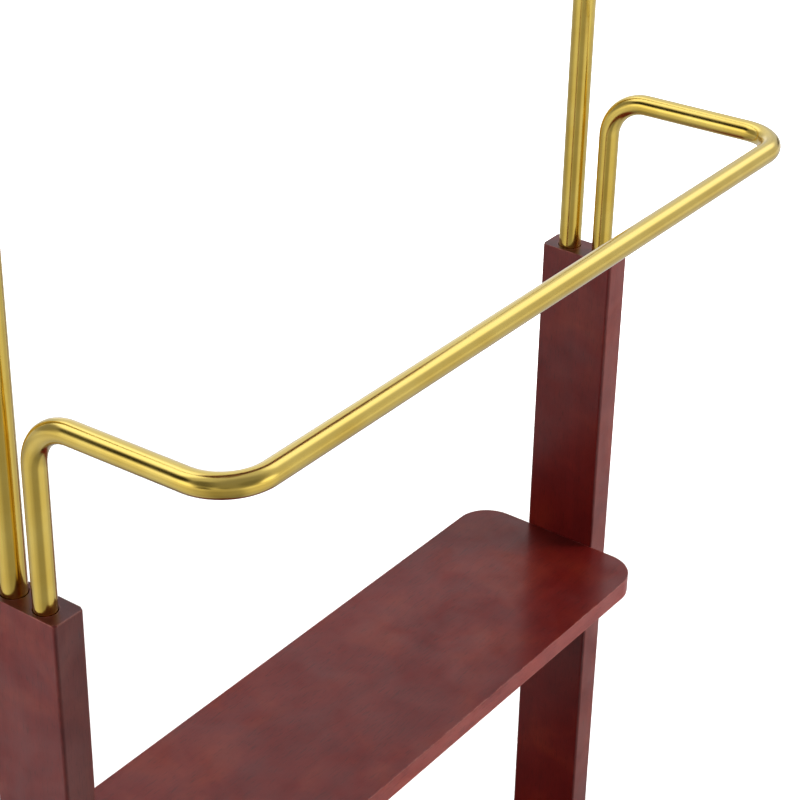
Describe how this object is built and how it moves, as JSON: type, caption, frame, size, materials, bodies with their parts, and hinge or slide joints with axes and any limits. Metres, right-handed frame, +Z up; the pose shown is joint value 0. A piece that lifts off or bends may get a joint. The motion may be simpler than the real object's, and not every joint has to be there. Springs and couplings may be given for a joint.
{
  "type": "valet stand",
  "caption": "Free-standing wooden valet stand with brass tube risers, a lift-out trouser bar, shelves between flat posts, a tray and a jacket hanger.",
  "frame": {"origin": "on the floor, midway between the two posts and under the middle of their width", "axes": "+Z up, -Y towards the front, where the trouser bar stands out, +X from the left post to the right post"},
  "size_m": [0.5146, 0.32, 1.104],
  "materials": {
    "mahogany": "semi-gloss lacquer over a red mahogany stain",
    "brass_tube": "polished",
    "brass_screw": "polished",
    "screw_steel": "zinc plated",
    "felt": "dark brown felt",
    "pad_rubber": "matt"
  },
  "bodies": {
    "stand": {"left_foot": "mahogany", "left_front_pad": "pad_rubber", "left_front_foot_screw": "screw_steel", "left_back_pad": "pad_rubber", "left_back_foot_screw": "screw_steel", "left_post": "mahogany", "right_foot": "mahogany", "right_front_pad": "pad_rubber", "right_front_foot_screw": "screw_steel", "right_back_pad": "pad_rubber", "right_back_foot_screw": "screw_steel", "right_post": "mahogany", "accessory_shelf": "mahogany", "accessory_shelf_left_front_screw": "screw_steel", "accessory_shelf_left_front_plug": "mahogany", "accessory_shelf_left_back_screw": "screw_steel", "accessory_shelf_left_back_plug": "mahogany", "accessory_shelf_right_front_screw": "screw_steel", "accessory_shelf_right_front_plug": "mahogany", "accessory_shelf_right_back_screw": "screw_steel", "accessory_shelf_right_back_plug": "mahogany", "shoe_shelf": "mahogany", "shoe_shelf_left_front_screw": "screw_steel", "shoe_shelf_left_front_plug": "mahogany", "shoe_shelf_left_back_screw": "screw_steel", "shoe_shelf_left_back_plug": "mahogany", "shoe_shelf_right_front_screw": "screw_steel", "shoe_shelf_right_front_plug": "mahogany", "shoe_shelf_right_back_screw": "screw_steel", "shoe_shelf_right_back_plug": "mahogany", "left_riser": "brass_tube", "left_riser_lower_screw": "brass_screw", "left_riser_upper_screw": "brass_screw", "right_riser": "brass_tube", "right_riser_lower_screw": "brass_screw", "right_riser_upper_screw": "brass_screw", "tray_left_cheek": "mahogany", "tray_left_front_screw": "screw_steel", "tray_left_front_plug": "mahogany", "tray_left_back_screw": "screw_steel", "tray_left_back_plug": "mahogany", "hanger_left_screw": "brass_screw", "tray_right_cheek": "mahogany", "tray_right_front_screw": "screw_steel", "tray_right_front_plug": "mahogany", "tray_right_back_screw": "screw_steel", "tray_right_back_plug": "mahogany", "hanger_right_screw": "brass_screw", "tray_front_rail": "mahogany", "tray_back_rail": "mahogany", "tray_floor": "mahogany", "tray_liner": "felt", "jacket_hanger": "mahogany"},
    "trouser_bar": {"trouser_bar": "brass_tube"}
  },
  "joints": [
    {"name": "trouser_bar_lift", "type": "slide", "parent": "stand", "child": "trouser_bar", "axis": [0, 0, 1], "range_m": [0, 0.05]}
  ]
}
